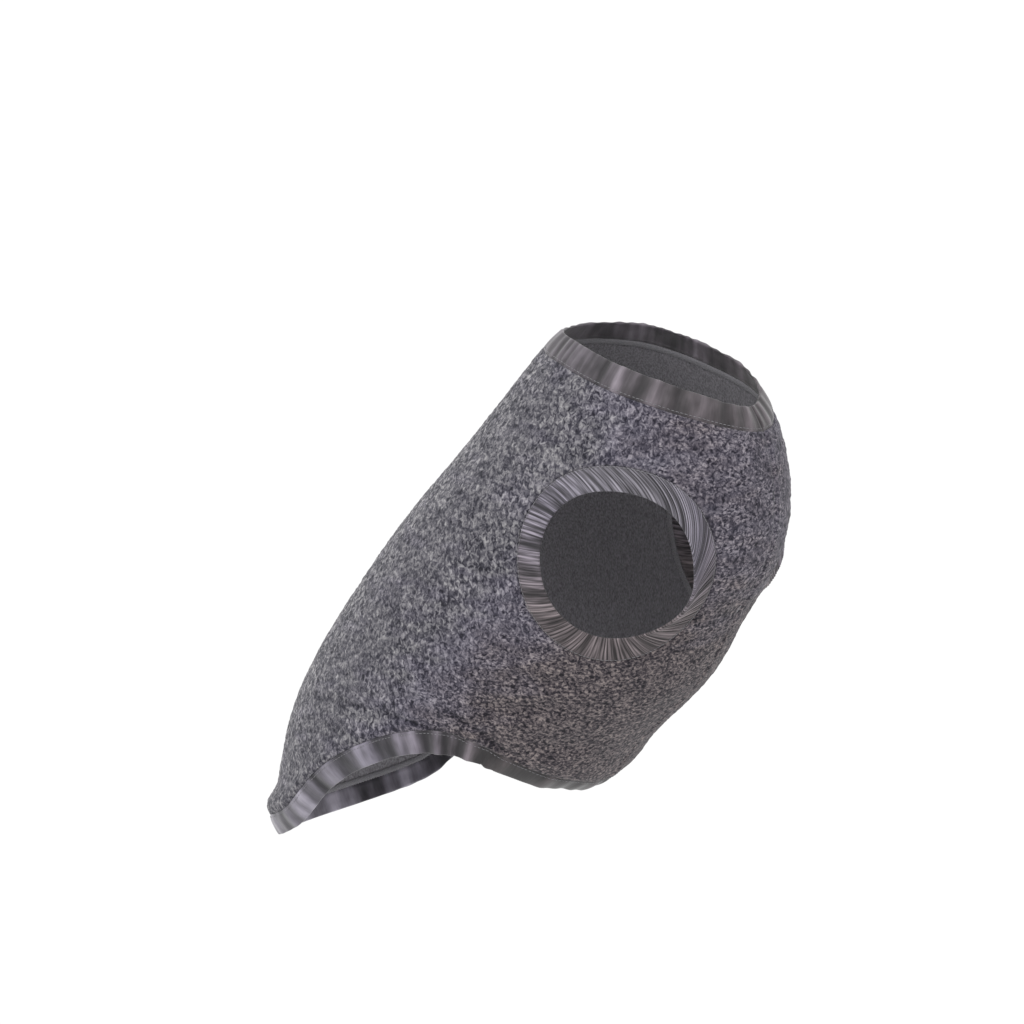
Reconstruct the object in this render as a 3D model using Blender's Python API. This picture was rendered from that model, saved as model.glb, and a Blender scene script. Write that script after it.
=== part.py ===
"""Dog vest: a hollow pull-on vest of marled fleece, held in the shape of a sitting dog's trunk.

One piece of fleece wraps the trunk and is sewn to itself under the chest. A ribbed band edges each
armhole, and a puckered band edges the neck and the hem. Sizes are in millimetres and the objects in
metres. +X is the wearer's front, +Y its left and +Z up. The origin is inside the back at the withers,
where the wearer carries the vest.

A place on the vest is (along, around): along counts the rows of SECTIONS from the neck down, and around
is the angle from the middle of the back, positive on the wearer's left, to pi under the chest.
"""

from collections import namedtuple

import bpy
import numpy as np

MM = 0.001

# Cloth thicknesses, and the gap between pieces at a seam
FLEECE = 3.0
BAND_CLOTH = 2.2
SEAM_GAP = 0.35

# One row for each section of the trunk, from above the neck to below the hem. back and chest are where
# the section crosses the middle of the back and of the chest, half_width is its reach to each side,
# squareness fills its corners out and taper narrows it towards the chest.
Section = namedtuple("Section", "back_x back_z chest_x chest_z half_width squareness taper")
SECTIONS = (
    Section(63, 77, 193, 37, 66, 0.10, 0.00),
    Section(35, 47, 223, -3, 80, 0.12, 0.02),
    Section(-2, 2, 239, -43, 96, 0.15, 0.05),
    Section(-46, -51, 243, -88, 110, 0.18, 0.08),
    Section(-101, -113, 230, -138, 120, 0.20, 0.10),
    Section(-152, -178, 200, -188, 125, 0.20, 0.10),
    Section(-198, -243, 170, -238, 127, 0.20, 0.09),
    Section(-230, -303, 122, -288, 126, 0.18, 0.07),
    Section(-246, -358, 79, -338, 124, 0.15, 0.05),
    Section(-258, -413, 46, -388, 122, 0.12, 0.03),
)

# About how many millimetres of cloth there are to a section and to a degree round the trunk
SECTION_SPACING = 58.0
DEGREE_SPACING = 2.2

# Where the seams to the neck band and to the hem band cross the sections, by the angle from the back
Edge = namedtuple("Edge", "degrees neck hem")
EDGES = (
    Edge(0, 1.20, 9.00),
    Edge(30, 1.15, 8.90),
    Edge(48, 1.10, 8.66),
    Edge(57, 1.08, 8.36),
    Edge(64, 1.08, 7.88),
    Edge(73, 1.09, 7.37),
    Edge(84, 1.11, 6.96),
    Edge(97, 1.13, 6.74),
    Edge(108, 1.14, 6.80),
    Edge(122, 1.17, 7.07),
    Edge(140, 1.23, 7.48),
    Edge(160, 1.33, 7.78),
    Edge(180, 1.40, 7.92),
)

# An armhole's middle on the cloth. Its edge goes by the angle from the front, anticlockwise as seen on
# the wearer's right: radius is the distance to the seam, and skew is how far a rib of the band runs
# round the opening, the same way, from the seam to the free edge.
ARMHOLE_ALONG = 3.87
ARMHOLE_DEGREES = 119.5
ArmholeEdge = namedtuple("ArmholeEdge", "degrees radius skew curl")
ARMHOLE_EDGES = (
    ArmholeEdge(0, 85, -30, -45),
    ArmholeEdge(45, 88, -56, -18),
    ArmholeEdge(90, 85, -34, 3),
    ArmholeEdge(135, 89, -9, 4),
    ArmholeEdge(180, 86, 2, 4),
    ArmholeEdge(215, 85, 12, 8),
    ArmholeEdge(255, 85, 4, 10),
    ArmholeEdge(300, 84, -14, -12),
    ArmholeEdge(360, 85, -30, -45),
)

# The bands. curl is how far a band's free edge turns in towards the wearer, or out where it is negative.
NECK_BAND = 24.0
HEM_BAND = 21.5
ARMHOLE_BAND = 21.5
Curl = namedtuple("Curl", "degrees neck hem")
CURLS = (
    Curl(0, 14, 18),
    Curl(35, 14, 20),
    Curl(62, 14, 26),
    Curl(82, 14, 4),
    Curl(110, 14, 3),
    Curl(140, 14, 16),
    Curl(180, 14, 32),
)

# Ribs and puckers raised in the bands
RIB_HEIGHT = 0.7
PUCKER_HEIGHT = 0.9

# The fleece swells over the hem band, most at the tail
Swell = namedtuple("Swell", "degrees height")
SWELLS = (
    Swell(0, 6.0),
    Swell(35, 6.5),
    Swell(58, 3.5),
    Swell(90, 1.2),
    Swell(140, 1.6),
    Swell(180, 2.0),
)
SWELL_PEAK = 11.0
SWELL_REACH = 14.0

# The largest folds of the fleece, from one place to another: troughs, or ridges where depth is positive
Fold = namedtuple("Fold", "along degrees to_along to_degrees depth width")
FOLDS = (
    Fold(6.35, -92, 6.80, -106, -2.2, 7),
    Fold(6.15, -108, 6.95, -121, -2.6, 8),
    Fold(6.42, -110, 7.05, -127, 1.2, 9),
    Fold(6.30, 95, 6.78, 108, -2.4, 8),
    Fold(6.20, 112, 7.05, 124, -2.0, 8),
    Fold(7.60, 40, 8.30, 52, -1.6, 10),
)

# How finely the solids are cut up. The fleece is a grid of columns and rows, with a ring of faces round
# each armhole in place of the cells in ARMHOLE_COLUMNS and ARMHOLE_ROWS. Each step of its edge is split
# into as many steps as the band beside it has.
BODY_COLUMNS = 58
BODY_ROWS = (0, 0.06, 0.12, 0.19, 0.26, 0.33, 0.4, 0.47, 0.54, 0.61, 0.68, 0.75, 0.82, 0.88, 0.94, 0.975, 1)
ARMHOLE_COLUMNS = (1, 16)
ARMHOLE_ROWS = (2, 12)
ARMHOLE_RINGS = (0.36, 0.72)
NECK_SPLIT = 3
HEM_SPLIT = 4
ARMHOLE_SPLIT = 5
BAND_ROWS = (0, 0.5, 1)
SHARP_DEGREES = 40

FLEECE_COLOUR = (0.135, 0.125, 0.14)
BAND_COLOUR = (0.145, 0.135, 0.15)


def spline(knots, values, repeats=False):
    """A function through the values at the knots, smooth to its second derivative."""
    knots = np.asarray(knots, float)
    values = np.asarray(values, float).reshape(len(knots), -1)
    if repeats:
        period = knots[-1] - knots[0]
        knots = np.concatenate([knots[:-1] - period, knots, knots[1:] + period])
        values = np.concatenate([values[:-1], values, values[1:]])
    count = len(knots)
    step = np.diff(knots)
    slope = np.diff(values, axis=0) / step[:, None]
    matrix = np.eye(count)
    right = np.zeros_like(values)
    for i in range(1, count - 1):
        matrix[i, i - 1 : i + 2] = step[i - 1], 2 * (step[i - 1] + step[i]), step[i]
        right[i] = 6 * (slope[i] - slope[i - 1])
    bend = np.linalg.solve(matrix, right)

    def at(where):
        where = np.asarray(where, float)
        i = np.clip(np.searchsorted(knots, where) - 1, 0, count - 2)
        width = step[i][..., None]
        after = (where - knots[i])[..., None]
        before = width - after
        line = values[i] * before + values[i + 1] * after
        curve = bend[i] * before * (before**2 - width**2) + bend[i + 1] * after * (after**2 - width**2)
        return (line + curve / 6) / width

    return at


def both_sides(rows):
    """A function of around that runs through a table's rows on both sides of the back."""
    table = np.array(rows, float)
    mirrored = np.concatenate([table[:0:-1], table])
    mirrored[: len(table) - 1, 0] *= -1
    curve = spline(np.radians(mirrored[:, 0]), mirrored[:, 1:], repeats=True)
    return lambda around: curve((np.asarray(around) + np.pi) % (2 * np.pi) - np.pi)


section_at = spline(range(len(SECTIONS)), SECTIONS)
edges_at = both_sides(EDGES)
curls_at = both_sides(CURLS)
swells_at = both_sides(SWELLS)
armhole_edges = np.array(ARMHOLE_EDGES, float)
armhole_edge_at = spline(np.radians(armhole_edges[:, 0]), armhole_edges[:, 1:], repeats=True)


def trunk(along, around):
    """Points of the smooth trunk that the vest is cut to fit."""
    section = np.moveaxis(section_at(along), -1, 0)
    back_x, back_z, chest_x, chest_z, half_width, squareness, taper = section
    deep = np.cos(around)
    wide = np.sin(around)
    power = 2 + squareness
    reach = (np.abs(deep) ** power + np.abs(wide) ** power) ** (-1 / power)
    deep = deep * reach
    wide = wide * reach * (1 + taper * deep)
    x = (back_x + chest_x) / 2 + deep * (back_x - chest_x) / 2
    z = (back_z + chest_z) / 2 + deep * (back_z - chest_z) / 2
    return np.stack([x, wide * half_width, z], axis=-1)


def slopes(face, along, around, step=1e-4):
    """How a face's points move with along and with around."""
    down = face(along + step, around) - face(along - step, around)
    across = face(along, around + step) - face(along, around - step)
    return down / (2 * step), across / (2 * step)


def unit(vectors):
    return vectors / np.linalg.norm(vectors, axis=-1, keepdims=True)


def facing(face, along, around):
    """Unit normals of a face, pointing away from the wearer."""
    down, across = slopes(face, along, around)
    return unit(np.cross(across, down))


def relief(along, around):
    """How far the fleece stands out from the trunk: its swell over the hem band, and its folds."""
    above_hem = (edges_at(around)[..., 1] - along) * SECTION_SPACING
    height = swells_at(around)[..., 0] * np.exp(-(((above_hem - SWELL_PEAK) / SWELL_REACH) ** 2))
    spacing = np.array([SECTION_SPACING, DEGREE_SPACING])
    place = np.stack([along, np.degrees(around)], axis=-1) * spacing
    for fold in FOLDS:
        start = np.array([fold.along, fold.degrees]) * spacing
        run = np.array([fold.to_along, fold.to_degrees]) * spacing - start
        share = np.clip((place - start) @ run / (run @ run), 0, 1)
        away = np.linalg.norm(place - start - share[..., None] * run, axis=-1)
        depth = fold.depth * np.sin(np.pi * (0.15 + 0.7 * share))
        height = height + depth * np.exp(-((away / fold.width) ** 2))
    return height


def fleece(along, around):
    """Points of the outer face of the fleece."""
    return trunk(along, around) + relief(along, around)[..., None] * facing(trunk, along, around)


def walk(along, around, heading, distance, steps=24):
    """Where walks over the trunk end, from one place, each straight on in its heading for its distance."""
    along = np.full(len(heading), float(along))
    around = np.full(len(heading), float(around))
    for _ in range(steps):
        down, across = slopes(trunk, along, around)
        normal = unit(np.cross(across, down))
        level = unit(heading - (heading * normal).sum(-1, keepdims=True) * normal)
        ahead = level * distance[:, None] / steps
        down_down = (down * down).sum(-1)
        down_across = (down * across).sum(-1)
        across_across = (across * across).sum(-1)
        by_down = (ahead * down).sum(-1)
        by_across = (ahead * across).sum(-1)
        area = down_down * across_across - down_across**2
        along = along + (across_across * by_down - down_across * by_across) / area
        around = around + (down_down * by_across - down_across * by_down) / area
    return along, around


def neck_seam(turn):
    return edges_at(turn)[..., 0], turn


def hem_seam(turn):
    return edges_at(turn)[..., 1], turn


def armhole_axes():
    """The middle of the armhole on the wearer's right, and the ways forward and up on the cloth there."""
    along, around = np.array(ARMHOLE_ALONG), -np.radians(ARMHOLE_DEGREES)
    normal = facing(trunk, along, around)
    up = unit(np.array([0, 0, 1]) - normal[2] * normal)
    return trunk(along, around), np.cross(up, normal), up


def armhole_seam(side):
    """An armhole's seam, as a function of the angle from the front. side is 1 on the left, -1 right."""

    def seam(turn):
        _, forward, up = armhole_axes()
        heading = np.cos(turn)[:, None] * forward + np.sin(turn)[:, None] * up
        radius = armhole_edge_at(turn % (2 * np.pi))[..., 0]
        along, around = walk(ARMHOLE_ALONG, -np.radians(ARMHOLE_DEGREES), heading, radius)
        return along, -side * around

    return seam


def armhole_angle(along, around, side):
    """The angle from the front at which a place lies from the middle of its armhole."""
    middle, forward, up = armhole_axes()
    offset = trunk(along, -side * around) - middle
    return np.arctan2(offset @ up, offset @ forward)


def strip(seam, turn, across, curl, sign):
    """Points and normals of a band at a distance across it from its seam. curl is per millimetre."""
    normal = facing(fleece, *seam(turn))
    tangent = fleece(*seam(turn + 1e-3)) - fleece(*seam(turn - 1e-3))
    away = sign * unit(np.cross(tangent, normal))
    turned = (curl * across)[..., None]
    curl = curl[..., None]
    point = fleece(*seam(turn)) + away * np.sin(turned) / curl - normal * (1 - np.cos(turned)) / curl
    return point, normal * np.cos(turned) + away * np.sin(turned)


def split(turns, parts):
    """The turns of a closed loop, with each step between two of them split into parts."""
    following = np.roll(turns, -1)
    step = (following - turns + np.pi) % (2 * np.pi) - np.pi
    return (turns[:, None] + step[:, None] * np.arange(parts) / parts).ravel()


def evenly(seam, count):
    """Turns that part a seam into equal lengths."""
    turn = np.linspace(-np.pi, np.pi, 1441)
    steps = np.linalg.norm(np.diff(trunk(*seam(turn)), axis=0), axis=1)
    length = np.concatenate([[0], np.cumsum(steps)])
    return np.interp(np.arange(count) * length[-1] / count, length, turn)


def band_face(seam, turns, width, curl, sign, skew, height):
    """Rows of outer points and of plain inner points across a band. skew is in turns at the free edge."""
    outer = []
    inner = []
    for share in BAND_ROWS:
        across = SEAM_GAP + share * (width - SEAM_GAP)
        point, normal = strip(seam, turns + skew * across / width, across, curl / width, sign)
        face = point - (FLEECE - BAND_CLOTH) * normal
        outer.append(face + (height * (0.4 + 0.6 * np.sin(np.pi * share)))[:, None] * normal)
        inner.append(face - BAND_CLOTH * normal)
    return np.array(outer), np.array(inner)


def puckers(count):
    """Heights of uneven puckers, one to about four points, round a band with this many points."""
    turn = np.arange(count) * 2 * np.pi / count
    phase = turn * (count // 4) + 0.9 * np.sin(3 * turn + 1.3) + 0.7 * np.sin(8 * turn + 0.4)
    return PUCKER_HEIGHT * (0.5 + 0.5 * np.cos(phase)) * (0.8 + 0.2 * np.sin(5 * turn + 2))


def ring_faces(first, count, rows, flip):
    """Faces of a closed grid of rows with count points each, numbered from first."""
    faces = []
    for row in range(rows - 1):
        for i in range(count):
            after = (i + 1) % count
            low, high = first + row * count, first + (row + 1) * count
            face = (low + i, low + after, high + after, high + i)
            faces.append(face[::-1] if flip else face)
    return faces


def rim_faces(outer_faces, inner_start, inner_of):
    """Faces that join each open edge of the outer face to the inner face behind it."""
    edges = {(face[i - 1], face[i]) for face in outer_faces for i in range(len(face))}
    open_edges = [edge for edge in edges if edge[::-1] not in edges]
    return [(b, a, inner_start + inner_of(a), inner_start + inner_of(b)) for a, b in sorted(open_edges)]


def add_material(name, colour, roughness):
    material = bpy.data.materials.new(name)
    material.use_nodes = True
    shader = material.node_tree.nodes["Principled BSDF"]
    shader.inputs["Base Color"].default_value = (*colour, 1)
    shader.inputs["Roughness"].default_value = roughness
    shader.inputs["Metallic"].default_value = 0
    return material


def add_solid(name, points, faces, material):
    mesh = bpy.data.meshes.new(name)
    mesh.from_pydata((points * MM).tolist(), [], faces)
    mesh.shade_smooth()
    mesh.set_sharp_from_angle(angle=np.radians(SHARP_DEGREES))
    mesh.materials.append(material)
    node = bpy.data.objects.new(name, mesh)
    bpy.context.scene.collection.objects.link(node)


def add_band(name, outer, inner, flip, material):
    """A band from its rows of outer and inner points. flip turns the outer faces round."""
    rows, count, _ = outer.shape
    outer_faces = ring_faces(0, count, rows, flip)
    inner_faces = ring_faces(rows * count, count, rows, not flip)
    rims = rim_faces(outer_faces, rows * count, lambda i: i)
    points = np.concatenate([outer.reshape(-1, 3), inner.reshape(-1, 3)])
    add_solid(name, points, outer_faces + inner_faces + rims, material)


class Fleece:
    """The fleece's corners as places on the vest, and its faces as the numbers of their corners."""

    def __init__(self):
        self.turns = evenly(hem_seam, BODY_COLUMNS)
        self.places = np.empty((0, 2))
        self.faces = []
        edge = edges_at(self.turns)
        rows = np.array(BODY_ROWS)[:, None]
        along = edge[:, 0] + rows * (edge[:, 1] - edge[:, 0])
        grid = self.add(along, np.broadcast_to(self.turns, along.shape))
        self.grid = np.concatenate([grid, grid[:, :1]], axis=1)
        self.armhole_turns = {side: self.ring(side) for side in (-1, 1)}
        self.cells()
        self.edge_cells()

    def add(self, along, around):
        """Adds corners and gives their numbers, in the shape of along."""
        numbers = len(self.places) + np.arange(along.size).reshape(along.shape)
        self.places = np.concatenate([self.places, np.stack([along.ravel(), around.ravel()], axis=1)])
        return numbers

    def hole(self, side):
        """The grid's corners round an armhole, in the order in which the faces outside it run."""
        top, bottom = ARMHOLE_ROWS
        first, last = ARMHOLE_COLUMNS
        if side > 0:
            first, last = BODY_COLUMNS - last, BODY_COLUMNS - first
        grid = self.grid
        upper = grid[top, first:last], grid[top:bottom, last]
        lower = grid[bottom, last:first:-1], grid[bottom:top:-1, first]
        return np.concatenate(upper + lower)

    def ring(self, side):
        """Fills the grid's hole as far as the armhole's seam. It gives the turns of the seam's corners."""
        seam = armhole_seam(side)
        hole = self.hole(side)
        place = self.places[hole]
        turns = np.unwrap(armhole_angle(*place.T, side))
        even = turns[0] - side * 2 * np.pi * np.arange(len(turns)) / len(turns)
        turns = (turns + even) / 2
        edge = np.stack(seam(turns), axis=1)
        around = hole
        for share in ARMHOLE_RINGS:
            within = self.add(*(place + share * (edge - place)).T)
            self.quads(around, within)
            around = within
        seam_turns = split(turns, ARMHOLE_SPLIT)
        within = self.add(*seam(seam_turns)).reshape(len(turns), -1)
        for i, corner in enumerate(around):
            after = (i + 1) % len(around)
            sewn = [*within[i], within[after][0]]
            self.faces.append([corner, around[after], *sewn[::-1]])
        return seam_turns

    def quads(self, outer, inner):
        for i in range(len(outer)):
            after = (i + 1) % len(outer)
            self.faces.append([outer[i], outer[after], inner[after], inner[i]])

    def cells(self):
        """The grid's cells between its first and last rows, but for the armholes'."""
        for row in range(1, len(BODY_ROWS) - 2):
            for column in range(BODY_COLUMNS):
                mirrored = BODY_COLUMNS - 1 - column
                first, last = ARMHOLE_COLUMNS
                beside = first <= column < last or first <= mirrored < last
                if beside and ARMHOLE_ROWS[0] <= row < ARMHOLE_ROWS[1]:
                    continue
                upper = self.grid[row, column : column + 2]
                lower = self.grid[row + 1, column : column + 2]
                self.faces.append([*upper, *lower[::-1]])

    def edge_cells(self):
        """The cells along the neck and the hem, with their seams' steps split."""
        neck = self.add(*neck_seam(split(self.turns, NECK_SPLIT))).reshape(BODY_COLUMNS, -1)
        hem = self.add(*hem_seam(split(self.turns, HEM_SPLIT))).reshape(BODY_COLUMNS, -1)
        for column in range(BODY_COLUMNS):
            after = (column + 1) % BODY_COLUMNS
            below_neck = self.grid[1, column : column + 2]
            above_hem = self.grid[-2, column : column + 2]
            self.faces.append([*neck[column], neck[after][0], *below_neck[::-1]])
            self.faces.append([*above_hem, hem[after][0], *hem[column][::-1]])

    def add_node(self, material):
        used, index = np.unique(np.concatenate(self.faces), return_inverse=True)
        place = self.places[used].T
        ends = np.cumsum([len(face) for face in self.faces])[:-1]
        faces = [tuple(int(i) for i in face) for face in np.split(index, ends)]
        outer = fleece(*place)
        inner = outer - FLEECE * facing(fleece, *place)
        behind = [tuple(i + len(used) for i in face[::-1]) for face in faces]
        rims = rim_faces(faces, len(used), lambda i: i)
        add_solid("body", np.concatenate([outer, inner]), faces + behind + rims, material)


def add_neck_band(turns, material):
    curl = np.radians(curls_at(turns)[..., 0])
    face = band_face(neck_seam, turns, NECK_BAND, curl, 1, 0, puckers(len(turns)))
    add_band("neck_band", *face, True, material)


def add_hem_band(turns, material):
    curl = np.radians(curls_at(turns)[..., 1])
    face = band_face(hem_seam, turns, HEM_BAND, curl, -1, 0, puckers(len(turns)))
    add_band("hem_band", *face, False, material)


def add_armhole_band(name, turns, side, material):
    radius, skew, curl = np.moveaxis(armhole_edge_at(turns % (2 * np.pi)), -1, 0)
    height = RIB_HEIGHT * (np.arange(len(turns)) % 2)
    skew = skew / radius
    curl = np.radians(curl)
    face = band_face(armhole_seam(side), turns, ARMHOLE_BAND, curl, side, skew, height)
    add_band(name, *face, False, material)


def main():
    for old in list(bpy.data.objects):
        bpy.data.objects.remove(old, do_unlink=True)
    marled = add_material("marled_fleece", FLEECE_COLOUR, 0.95)
    ribbed = add_material("ribbed_knit", BAND_COLOUR, 0.6)
    body = Fleece()
    body.add_node(marled)
    add_neck_band(split(body.turns, NECK_SPLIT), ribbed)
    add_hem_band(split(body.turns, HEM_SPLIT), ribbed)
    add_armhole_band("armhole_band_right", body.armhole_turns[-1], -1, ribbed)
    add_armhole_band("armhole_band_left", body.armhole_turns[1], 1, ribbed)


if __name__ == "__main__":
    main()
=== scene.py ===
"""Looks of the dog vest: marled looped fleece with ribbed bands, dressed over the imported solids.

Sizes are in millimetres and the objects in metres, in the solids' frame. A place on the vest is
(along, around): along counts the rows of SECTIONS from the neck down, and around is the angle from the
middle of the back, positive on the wearer's left, to pi under the chest.
"""

from collections import namedtuple

import bpy
import numpy as np
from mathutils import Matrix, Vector, kdtree, noise

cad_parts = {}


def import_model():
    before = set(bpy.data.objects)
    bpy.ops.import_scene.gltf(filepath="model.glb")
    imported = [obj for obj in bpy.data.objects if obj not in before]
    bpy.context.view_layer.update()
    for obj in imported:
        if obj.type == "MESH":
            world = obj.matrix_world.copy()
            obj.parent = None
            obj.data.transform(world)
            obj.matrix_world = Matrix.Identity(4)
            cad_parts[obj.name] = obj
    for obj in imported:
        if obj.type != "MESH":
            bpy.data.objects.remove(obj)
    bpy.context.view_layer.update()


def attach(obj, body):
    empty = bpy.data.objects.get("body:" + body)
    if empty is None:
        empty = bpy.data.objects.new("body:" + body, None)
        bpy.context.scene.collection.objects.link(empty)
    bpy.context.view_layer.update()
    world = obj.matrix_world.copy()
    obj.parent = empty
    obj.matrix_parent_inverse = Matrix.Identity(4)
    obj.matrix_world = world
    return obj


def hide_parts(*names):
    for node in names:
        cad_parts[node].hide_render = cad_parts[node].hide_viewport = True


MM = 0.001

# The points that measure a seam, and the step in turn that gives its direction
SEAM_POINTS = 1441
SMALL_TURN = 1e-3

# Cloth thicknesses, and the gap between pieces at a seam
FLEECE = 3.0
BAND_CLOTH = 2.2
SEAM_GAP = 0.35

# One row for each section of the trunk, from above the neck to below the hem
Section = namedtuple("Section", "back_x back_z chest_x chest_z half_width squareness taper")
SECTIONS = (
    Section(63, 77, 193, 37, 66, 0.10, 0.00),
    Section(35, 47, 223, -3, 80, 0.12, 0.02),
    Section(-2, 2, 239, -43, 96, 0.15, 0.05),
    Section(-46, -51, 243, -88, 110, 0.18, 0.08),
    Section(-101, -113, 230, -138, 120, 0.20, 0.10),
    Section(-152, -178, 200, -188, 125, 0.20, 0.10),
    Section(-198, -243, 170, -238, 127, 0.20, 0.09),
    Section(-230, -303, 122, -288, 126, 0.18, 0.07),
    Section(-246, -358, 79, -338, 124, 0.15, 0.05),
    Section(-258, -413, 46, -388, 122, 0.12, 0.03),
)

# About how many millimetres of cloth there are to a section and to a degree round the trunk
SECTION_SPACING = 58.0
DEGREE_SPACING = 2.2

# Where the seams to the neck band and to the hem band cross the sections, by the angle from the back
Edge = namedtuple("Edge", "degrees neck hem")
EDGES = (
    Edge(0, 1.20, 9.00),
    Edge(30, 1.15, 8.90),
    Edge(48, 1.10, 8.66),
    Edge(57, 1.08, 8.36),
    Edge(64, 1.08, 7.88),
    Edge(73, 1.09, 7.37),
    Edge(84, 1.11, 6.96),
    Edge(97, 1.13, 6.74),
    Edge(108, 1.14, 6.80),
    Edge(122, 1.17, 7.07),
    Edge(140, 1.23, 7.48),
    Edge(160, 1.33, 7.78),
    Edge(180, 1.40, 7.92),
)

# An armhole's edge by the angle from the front: radius is the distance to the seam, and skew is how far
# a rib of the band runs round the opening from the seam to the free edge
ARMHOLE_ALONG = 3.87
ARMHOLE_DEGREES = 119.5
ArmholeEdge = namedtuple("ArmholeEdge", "degrees radius skew curl")
ARMHOLE_EDGES = (
    ArmholeEdge(0, 85, -30, -45),
    ArmholeEdge(45, 88, -56, -18),
    ArmholeEdge(90, 85, -34, 3),
    ArmholeEdge(135, 89, -9, 4),
    ArmholeEdge(180, 86, 2, 4),
    ArmholeEdge(215, 85, 12, 8),
    ArmholeEdge(255, 85, 4, 10),
    ArmholeEdge(300, 84, -14, -12),
    ArmholeEdge(360, 85, -30, -45),
)

# The bands. curl is how far a band's free edge turns in towards the wearer, or out where it is negative.
NECK_BAND = 24.0
HEM_BAND = 21.5
ARMHOLE_BAND = 21.5
Curl = namedtuple("Curl", "degrees neck hem")
CURLS = (
    Curl(0, 14, 18),
    Curl(35, 14, 20),
    Curl(62, 14, 26),
    Curl(82, 14, 4),
    Curl(110, 14, 3),
    Curl(140, 14, 16),
    Curl(180, 14, 32),
)

# The fleece swells over the hem band, most at the tail
Swell = namedtuple("Swell", "degrees height")
SWELLS = (
    Swell(0, 6.0),
    Swell(35, 6.5),
    Swell(58, 3.5),
    Swell(90, 1.2),
    Swell(140, 1.6),
    Swell(180, 2.0),
)
SWELL_PEAK = 11.0
SWELL_REACH = 14.0

# The folds of the fleece, from one place to another: troughs, or ridges where depth is positive. A
# fold's depth follows half a wave, from FOLD_START of it and for FOLD_RUN of it.
FOLD_START = 0.15
FOLD_RUN = 0.7
Fold = namedtuple("Fold", "along degrees to_along to_degrees depth width")
SOLID_FOLDS = (
    Fold(6.35, -92, 6.80, -106, -2.2, 7),
    Fold(6.15, -108, 6.95, -121, -2.6, 8),
    Fold(6.42, -110, 7.05, -127, 1.2, 9),
    Fold(6.30, 95, 6.78, 108, -2.4, 8),
    Fold(6.20, 112, 7.05, 124, -2.0, 8),
    Fold(7.60, 40, 8.30, 52, -1.6, 10),
)
SHARP_CREASES = (
    Fold(6.68, -38, 6.49, -62, -0.6, 4),
    Fold(6.49, -62, 6.53, -82, -0.8, 3),
    Fold(6.53, -82, 6.77, -104, -2.0, 2.0),
    Fold(6.33, -98, 6.72, -114, -1.9, 2.0),
    Fold(6.72, -113, 7.06, -125, -1.6, 2.2),
    Fold(6.58, 36, 6.40, 67, -1.0, 4.5),
    Fold(6.40, 67, 6.52, 88, -1.2, 3.2),
    Fold(6.42, 96, 6.79, 112, -2.1, 2.2),
    Fold(6.70, 115, 7.08, 128, -1.5, 2.6),
)
CREASES = (
    # The wearer's right: above the hem, then across the belly from the armhole down
    Fold(6.50, -34, 6.25, -70, 1.1, 8),
    Fold(6.25, -70, 6.45, -96, 1.0, 7),
    Fold(7.00, -122, 7.45, -139, -1.5, 4),
    Fold(4.45, -96, 4.48, -107, 0.7, 5),
    Fold(4.62, -93, 4.64, -111, -1.0, 6),
    Fold(4.72, -92, 4.88, -105, 0.9, 6),
    Fold(4.98, -100, 5.28, -112, -1.0, 6),
    Fold(5.50, -102, 5.53, -125, 1.1, 7),
    Fold(5.80, -110, 5.78, -132, -1.5, 7),
    Fold(5.97, -112, 5.97, -133, 1.0, 7),
    Fold(6.25, -109, 6.27, -134, -1.7, 7),
    Fold(6.50, -112, 6.64, -138, 1.4, 8),
    Fold(6.98, -128, 6.98, -151, -1.5, 8),
    Fold(7.28, -134, 7.30, -154, 1.0, 7),
    # The wearer's left
    Fold(6.38, 31, 6.16, 74, 1.0, 8),
    Fold(4.55, 94, 4.66, 112, -0.9, 6),
    Fold(4.86, 97, 5.12, 114, -1.1, 7),
    Fold(5.42, 103, 5.48, 120, 0.9, 8),
    Fold(5.70, 107, 5.80, 130, -1.4, 7),
    Fold(5.95, 110, 5.91, 134, 1.0, 8),
    Fold(6.18, 112, 6.33, 131, -1.4, 7),
    Fold(6.52, 116, 6.60, 141, 1.2, 8),
    Fold(6.93, 126, 7.02, 149, -1.4, 8),
    Fold(7.30, 133, 7.26, 150, 0.9, 7),
    # Across the back and under the chest
    Fold(5.15, -22, 5.05, 17, -0.7, 11),
    Fold(7.32, -19, 7.20, 15, -0.9, 9),
    Fold(7.78, -24, 7.72, 8, 0.7, 9),
    Fold(2.61, -172, 2.85, -205, -0.9, 6),
    Fold(4.60, -166, 4.72, -199, -1.0, 8),
    Fold(5.60, -158, 5.48, -196, 0.8, 9),
    Fold(6.35, -164, 6.30, -188, -0.9, 7),
)

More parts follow.
